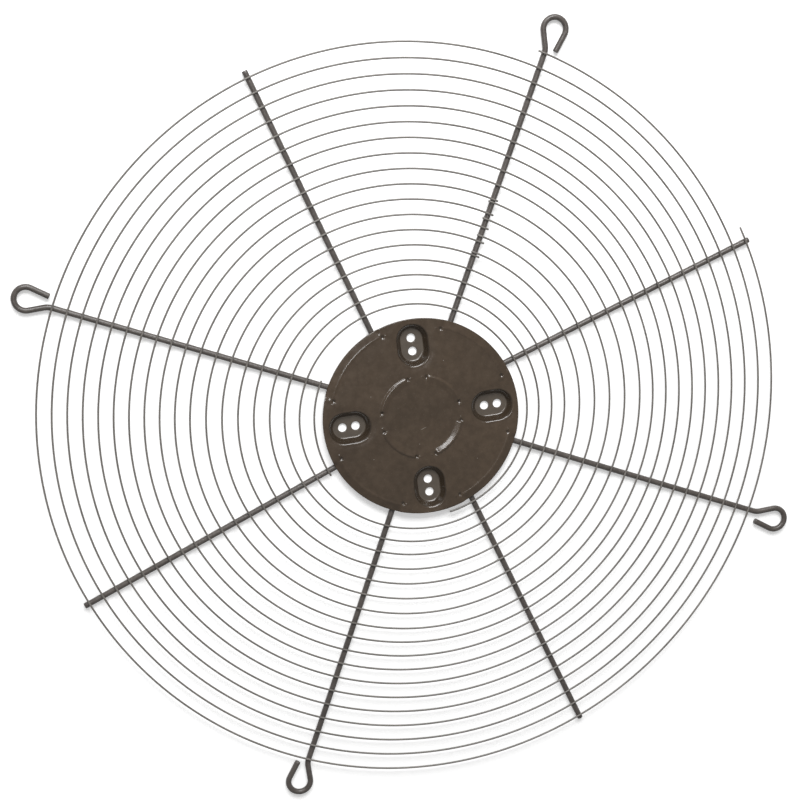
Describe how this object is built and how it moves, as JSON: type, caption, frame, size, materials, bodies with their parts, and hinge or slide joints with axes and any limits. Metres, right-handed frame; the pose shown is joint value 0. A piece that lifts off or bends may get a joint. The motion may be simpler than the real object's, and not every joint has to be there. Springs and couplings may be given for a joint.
{
  "type": "wire fan guard",
  "caption": "Flat round wire fan guard: pressed hub plate with stud-hole pockets, radial spokes, hooked spoke ends and a spiral of fine wire.",
  "frame": {"origin": "on the axis of the hub plate's stud circles, on the plane that the spokes, hooks and pocket floors rest on", "axes": "+Z along the guard's axis, out of the face that the fine wires and the hub plate's beads are on; the first hook spoke points about 72 degrees from +X towards +Y"},
  "size_m": [0.6546, 0.6527, 0.0084],
  "materials": {
    "plate": "semi-gloss",
    "spokes": "semi-gloss",
    "fine_wire": "satin"
  },
  "bodies": {
    "root": {"hub_plate": "plate", "hook_spoke_1": "spokes", "hook_spoke_2": "spokes", "hook_spoke_3": "spokes", "hook_spoke_4": "spokes", "short_spoke_1": "spokes", "short_spoke_2": "spokes", "short_spoke_3": "spokes", "short_spoke_4": "spokes", "inner_wire": "fine_wire", "coil_wire": "fine_wire", "ring_wire_1": "fine_wire", "ring_wire_2": "fine_wire", "ring_wire_3": "fine_wire", "outer_wire_1": "fine_wire", "outer_wire_2": "fine_wire"}
  },
  "joints": []
}
